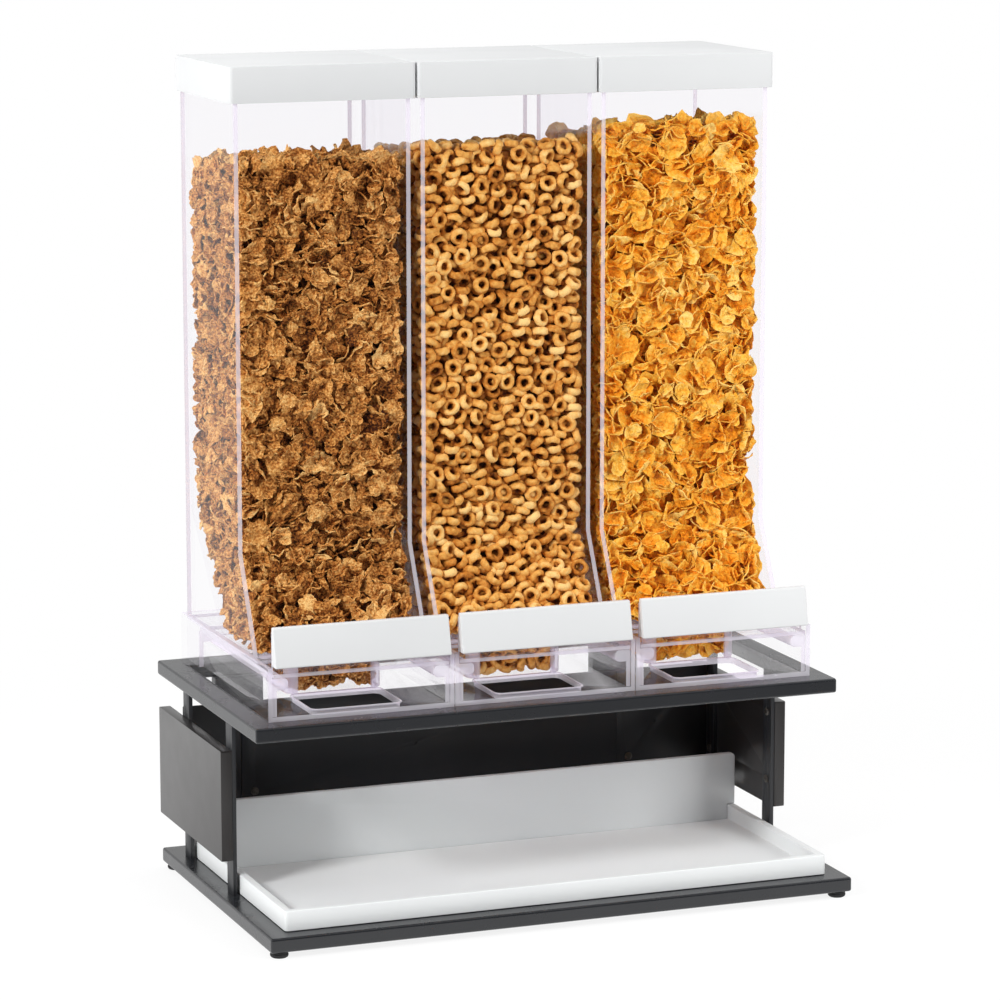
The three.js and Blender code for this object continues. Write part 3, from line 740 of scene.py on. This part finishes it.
def scatter(pile, food, tries, rng):
    """Places, axes and sizes of food in a shell inside the pile's outside, the large pieces first."""
    wide, thick = food["radius"], food["half_thickness"]
    foremost = min(pile.front(pile.bottom), pile.front(pile.surface))
    low = np.array([pile.x0, foremost, pile.bottom])
    high = np.array([pile.x1, pile.back(pile.surface), pile.surface + 2 * pile.unevenness])
    places = rng.uniform(low, high, (tries, 3))
    gaps = pile.gaps(places)
    wanted = (gaps.min(1) > 0) & (gaps.min(1) < food["shell"])
    places, gaps = places[wanted], gaps[wanted]
    facing = rng.random(len(places)) < food["facing"]
    axes = np.where(facing[:, None], WALL_NORMALS[gaps.argmin(1)], (0, 0, 1))
    axes = axes + rng.normal(0, food["tilt"], places.shape)
    axes /= np.linalg.norm(axes, axis=1, keepdims=True)
    sizes = rng.uniform(food["smallest"], 1, len(places))
    reach = sizes[:, None] * np.sqrt(wide ** 2 * (1 - axes ** 2) + thick ** 2 * axes ** 2)
    places[:, 0] = np.clip(places[:, 0], pile.x0 + reach[:, 0], pile.x1 - reach[:, 0])
    z = places[:, 2]
    places[:, 1] = np.maximum(places[:, 1], pile.front(z) + SLOPED_REACH * reach[:, 1])
    places[:, 1] = np.minimum(places[:, 1], pile.back(z) - SLOPED_REACH * reach[:, 1])
    depth = pile.gaps(places).min(1)
    taken, kept = {}, []
    cell = 2 * wide * max(crowding for crowding, _ in food["passes"])
    steps = [(i, j, k) for i in (-1, 0, 1) for j in (-1, 0, 1) for k in (-1, 0, 1)]
    for crowding, shallowest in food["passes"]:
        for index in np.argsort(-sizes, kind="stable"):
            if depth[index] < shallowest:
                continue
            piece = (places[index].tolist(), axes[index].tolist(), float(sizes[index]))
            i, j, k = (int(v // cell) for v in piece[0])
            near = (other for a, b, c in steps for other in taken.get((i + a, j + b, k + c), ()))
            if all(apart(piece, other, food, crowding) for other in near):
                taken.setdefault((i, j, k), []).append(piece)
                kept.append(piece)
    return sorted(kept, key=lambda piece: piece[0][2])


def turn_to(axis, rng):
    """A turn matrix that takes Z to the axis, with a random turn about it."""
    side = np.cross(axis, rng.standard_normal(3))
    side /= np.linalg.norm(side)
    return np.stack([side, np.cross(axis, side), axis], 1)


def quad_mesh(name, points, quads, tones, smooth):
    """A mesh of four-sided faces, with a tone on each point for its material to read."""
    mesh = bpy.data.meshes.new(name)
    mesh.vertices.add(len(points))
    mesh.vertices.foreach_set("co", points.astype(np.float32).ravel())
    mesh.loops.add(quads.size)
    mesh.loops.foreach_set("vertex_index", quads.astype(np.int32).ravel())
    mesh.polygons.add(len(quads))
    mesh.polygons.foreach_set("loop_start", np.arange(0, quads.size, 4, dtype=np.int32))
    mesh.polygons.foreach_set("use_smooth", np.full(len(quads), smooth))
    mesh.attributes.new("tone", "FLOAT", "POINT").data.foreach_set("value", tones.astype(np.float32))
    mesh.update(calc_edges=True)
    return mesh


def pile_mesh(name, pile, pieces, shapes, food, low_space, rng):
    """The given pieces of food as one mesh."""
    points, faces, tones = [], [], []
    start = 0
    for place, axis, size in pieces:
        outline, corners, rim = shapes[rng.integers(len(shapes))]
        turned = size * food["radius"] * outline @ turn_to(np.array(axis), rng).T
        settled = pile.settle(np.array(place) + turned)
        points.append(settled)
        faces.append(corners + start)
        # Painted shade: a piece deep in the pile is darker, by its full share from a set depth inwards.
        depth_shade = food["depth_shade"] * np.clip(pile.gaps(settled).min(1) / PAINTED_SHADE_DEPTH, 0, 1)
        # The rim share is toasting at a flake's rim, and toasting with painted shade inside a ring's
        # hole.
        tones.append(rng.normal(food["tone"], food["tone_spread"]) - food["rim_toast_and_shade"] * rim - depth_shade)
        start += len(outline)
    points = np.concatenate(points)
    if low_space:
        points = pile.squeeze(points)
    return quad_mesh(name, points, np.concatenate(faces), np.concatenate(tones), food["smooth"])


def core_mesh(name, pile, food, rng):
    """The inside of a pile, which the pieces round it hide: it keeps light from showing through, and it
    takes the lowest tone of the ramp as painted shade.
    """
    depth = food["core_depth"]
    top = pile.surface - depth - 2 * pile.unevenness
    core = bmesh.new()
    loops = []
    for z in np.linspace(pile.bottom + 0.3 * depth, top, 40):
        x0, x1 = pile.x0 + depth, pile.x1 - depth
        y0, y1 = float(pile.front(z)) + depth, float(pile.back(z)) - depth
        corners = ((x0, y0), (x1, y0), (x1, y1), (x0, y1))
        loops.append([core.verts.new((x, y, z)) for x, y in corners])
    core.faces.new(loops[0][::-1])
    core.faces.new(loops[-1])
    for below, above in zip(loops, loops[1:]):
        for k in range(4):
            core.faces.new((below[k], below[(k + 1) % 4], above[(k + 1) % 4], above[k]))
    across = [edge for edge in core.edges if abs(edge.verts[0].co.z - edge.verts[1].co.z) < 1e-6]
    bmesh.ops.subdivide_edges(core, edges=across, cuts=9, use_grid_fill=True)
    for vertex in core.verts:
        vertex.co += Vector(rng.normal(0, 0.12 * depth, 3))
        vertex.co.z = max(vertex.co.z, pile.bottom + CONTENT_CLEARANCE)
    mesh = mesh_of(name, core)
    # Painted shade: the core is given the lowest tone, the dark end of the ramp.
    painted_shade_tone = np.zeros(len(mesh.vertices), np.float32)
    mesh.attributes.new("tone", "FLOAT", "POINT").data.foreach_set("value", painted_shade_tone)
    return mesh


# Each food is a shell of pieces round a core that starts at core_depth. Smallest is the size of the
# smallest piece against the largest. Passes are (how close two pieces may come, as a share of what
# they need, and how deep the pass starts). Facing is the share of pieces that lie flat to the
# nearest side, while the others lie level, and tilt is how far each leans from that. The tone is a
# place on the material's ramp: rim_toast_and_shade is taken off at a piece's rim as toasting, or at
# a ring's hole as toasting and painted shade, and depth_shade, painted shade, is taken off deep in
# the pile. Surface is the pile's height, and parts is how many pieces of the scene its food makes.
FOODS = {
    "left": dict(
        name="bran_flakes", material=BRAN, smooth=False,
        radius=13.5 * MM, half_thickness=3.8 * MM, smallest=0.42,
        passes=((0.66, 0), (0.52, 8 * MM)), shell=16.5 * MM, core_depth=14 * MM,
        facing=0.6, tilt=0.42,
        tone=0.73, tone_spread=0.13, rim_toast_and_shade=0.06, depth_shade=0.5,
        surface=0.577, unevenness=3 * MM, tries=70000, parts=6,
        shape=lambda rng: flake_shape(rng, 0.36, 0.15, 0.13, 0.04, 0.09, 0.6)),
    "middle": dict(
        name="oat_rings", material=OAT, smooth=True,
        radius=7.0 * MM, half_thickness=3.3 * MM, smallest=0.9,
        passes=((0.93, 0), (0.8, 6 * MM), (0.62, 9 * MM)), shell=15.5 * MM, core_depth=13.5 * MM,
        facing=0.42, tilt=0.42,
        tone=0.74, tone_spread=0.14, rim_toast_and_shade=0.3, depth_shade=0.5,
        surface=0.585, unevenness=2.5 * MM, tries=150000, parts=7,
        shape=ring_shape),
    "right": dict(
        name="corn_flakes", material=CORN, smooth=False,
        radius=15.5 * MM, half_thickness=3.8 * MM, smallest=0.38,
        passes=((0.62, 0), (0.5, 8 * MM)), shell=16.5 * MM, core_depth=14 * MM,
        facing=0.62, tilt=0.5,
        tone=0.65, tone_spread=0.12, rim_toast_and_shade=-0.08, depth_shade=0.42,
        surface=0.591, unevenness=4 * MM, tries=70000, parts=6,
        shape=lambda rng: flake_shape(rng, 0.4, 0.11, 0.075, 0.025, 0.06, 0.72)),
}


def fill(food, pile, name, body, parts, tries, low_space, rng):
    """Food in a pile, as the given number of pieces from the bottom up."""
    shapes = [food["shape"](rng) for _ in range(SHAPES)]
    pieces = scatter(pile, food, tries, rng)
    share = math.ceil(len(pieces) / parts)
    for number in range(parts):
        part_name = f"{name}_{number + 1}" if parts > 1 else name
        some = pieces[number * share:(number + 1) * share]
        mesh = pile_mesh(part_name, pile, some, shapes, food, low_space, rng)
        finish_piece(link(part_name, mesh), body, [], [food["material"]])


def upright(y):
    """A wall of a pile that stands at the same place at every height."""
    return lambda z: y + 0 * z


def contents(side):
    """The food in a bin and the portion in its drawer's chamber."""
    food = FOODS[side]
    rng = np.random.default_rng(SEED + SIDES.index(side))
    body = f"bin_lift_{side}"
    shape = BinShape(side)
    pile = Pile(shape.x0 + BIN_WALL, shape.x1 - BIN_WALL, shape.bottom, food["surface"],
        shape.front_inside, shape.back_inside, food["unevenness"], rng)
    fill(food, pile, f"{food['name']}_{side}_bin", body, food["parts"], food["tries"], False, rng)
    core = core_mesh(f"{food['name']}_{side}_core", pile, food, rng)
    finish_piece(link(core.name, core), body, [], [food["material"]])
    low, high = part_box(f"drawer_chamber_{side}")
    portion = Pile(low[0] + CHAMBER_WALL, high[0] - CHAMBER_WALL, low[2], high[2],
        upright(low[1] + CHAMBER_WALL), upright(high[1] - CHAMBER_WALL), 0.0, rng)
    name, body = f"{food['name']}_{side}_portion", f"drawer_slide_{side}"
    fill(food, portion, name, body, 1, PORTION_TRIES, True, rng)


# ==== Camera, light and floor ====
def camera():
    """In front of the object, to its left and a little above."""
    data = bpy.data.cameras.new("camera")
    data.lens = CAMERA_LENS
    data.sensor_width = 36
    data.clip_end = 100
    item = bpy.data.objects.new("camera", data)
    bpy.context.scene.collection.objects.link(item)
    level = math.cos(CAMERA_TILT)
    ahead, aside = math.cos(CAMERA_TURN) * level, math.sin(CAMERA_TURN) * level
    forward = Vector((aside, ahead, math.sin(CAMERA_TILT)))
    item.rotation_mode = "QUATERNION"
    item.rotation_quaternion = forward.to_track_quat("-Z", "Y")
    item.location = CAMERA_PLACE
    bpy.context.scene.camera = item


def world():
    """A studio seen full white all round, that lights from behind more than from in front."""
    sky = bpy.data.worlds.new("studio")
    sky.use_nodes = True
    tree = sky.node_tree
    light = tree.nodes["Background"]
    light.inputs["Color"].default_value = (0.98, 0.99, 1.0, 1)
    mirrored = tree.nodes.new("ShaderNodeBackground")
    direction = tree.nodes.new("ShaderNodeTexCoord")
    parts = tree.nodes.new("ShaderNodeSeparateXYZ")
    tree.links.new(direction.outputs["Generated"], parts.inputs[0])
    # Between these two directions along Y, each background goes from dark to bright.
    fades = ((light, -0.2, 0.6, 0.37, 0.8), (mirrored, -0.75, 0.0, 0.08, 1.0))
    for background, front, back, dark, bright in fades:
        fade = map_range(tree, parts.outputs["Y"], front, back, dark, bright)
        tree.links.new(fade.outputs["Result"], background.inputs["Strength"])
    backdrop = tree.nodes.new("ShaderNodeBackground")
    backdrop.inputs["Color"].default_value = (1, 1, 1, 1)
    path = tree.nodes.new("ShaderNodeLightPath")
    result = light.outputs[0]
    for ray, seen in (("Is Glossy Ray", mirrored), ("Is Camera Ray", backdrop)):
        mix = tree.nodes.new("ShaderNodeMixShader")
        tree.links.new(path.outputs[ray], mix.inputs["Fac"])
        tree.links.new(result, mix.inputs[1])
        tree.links.new(seen.outputs[0], mix.inputs[2])
        result = mix.outputs[0]
    tree.links.new(result, tree.nodes["World Output"].inputs["Surface"])
    bpy.context.scene.world = sky


def area_light(name, place, target, size, power):
    """A soft box that lights the object but isn't seen or mirrored."""
    data = bpy.data.lights.new(name, "AREA")
    data.shape = "RECTANGLE"
    data.size, data.size_y = size
    data.energy = power
    item = bpy.data.objects.new(name, data)
    bpy.context.scene.collection.objects.link(item)
    item.location = place
    item.rotation_mode = "QUATERNION"
    item.rotation_quaternion = (Vector(target) - Vector(place)).to_track_quat("-Z", "Y")
    item.visible_camera = False
    item.visible_glossy = False


def lights():
    """A key from the left, a weak fill from the right and a soft light overhead."""
    aim = (0, 0, 0.33)
    area_light("key_left", (-2.3, -1.05, 1.5), aim, (0.6, 0.6), 68)
    area_light("fill_right", (0.95, -0.95, 0.7), aim, (0.7, 0.6), 12.5)
    area_light("overhead", (0.2, 0.3, 2.6), aim, (1.2, 1.2), 20)


def floor():
    """A large pale floor, seen full white, that lights the object's front less than its back."""
    disc = bmesh.new()
    bmesh.ops.create_circle(disc, cap_ends=True, segments=96, radius=FLOOR_RADIUS)
    piece = link("floor", mesh_of("floor", disc))
    material = bpy.data.materials.new("floor")
    material.use_nodes = True
    tree = material.node_tree
    tree.nodes.remove(tree.nodes["Principled BSDF"])
    place = tree.nodes.new("ShaderNodeNewGeometry").outputs["Position"]
    distance = tree.nodes.new("ShaderNodeVectorMath")
    distance.operation = "LENGTH"
    tree.links.new(place, distance.inputs[0])
    parts = tree.nodes.new("ShaderNodeSeparateXYZ")
    tree.links.new(place, parts.inputs[0])
    whiteness = map_range(tree, distance.outputs["Value"], start=0.3, end=0.9, low=0.85, high=1.0)
    whiteness.interpolation_type = "SMOOTHSTEP"
    dim_front = map_range(tree, parts.outputs["Y"], start=-0.6, end=-0.15, low=0.3, high=1.0)
    path = tree.nodes.new("ShaderNodeLightPath")
    brighter = tree.nodes.new("ShaderNodeMath")
    brighter.operation = "MAXIMUM"
    tree.links.new(path.outputs["Is Camera Ray"], brighter.inputs[0])
    tree.links.new(dim_front.outputs["Result"], brighter.inputs[1])
    matte = tree.nodes.new("ShaderNodeBsdfDiffuse")
    matte.inputs["Color"].default_value = (0.95, 0.95, 0.95, 1)
    glow = tree.nodes.new("ShaderNodeEmission")
    glow.inputs["Color"].default_value = (1, 1, 1, 1)
    tree.links.new(brighter.outputs[0], glow.inputs["Strength"])
    mix = tree.nodes.new("ShaderNodeMixShader")
    tree.links.new(whiteness.outputs["Result"], mix.inputs["Fac"])
    tree.links.new(matte.outputs[0], mix.inputs[1])
    tree.links.new(glow.outputs[0], mix.inputs[2])
    tree.links.new(mix.outputs[0], tree.nodes["Material Output"].inputs["Surface"])
    piece.data.materials.append(material)


def picture():
    """Plain colours, and enough bounces for light to cross many clear sheets."""
    scene = bpy.context.scene
    scene.view_settings.view_transform = "Standard"
    scene.view_settings.look = "None"
    scene.cycles.transparent_max_bounces = 96
    scene.cycles.max_bounces = 10


camera()
world()
lights()
floor()
picture()
stand()
tray()
for side_name in SIDES:
    unit(side_name)
    contents(side_name)

bpy.context.view_layer.update()
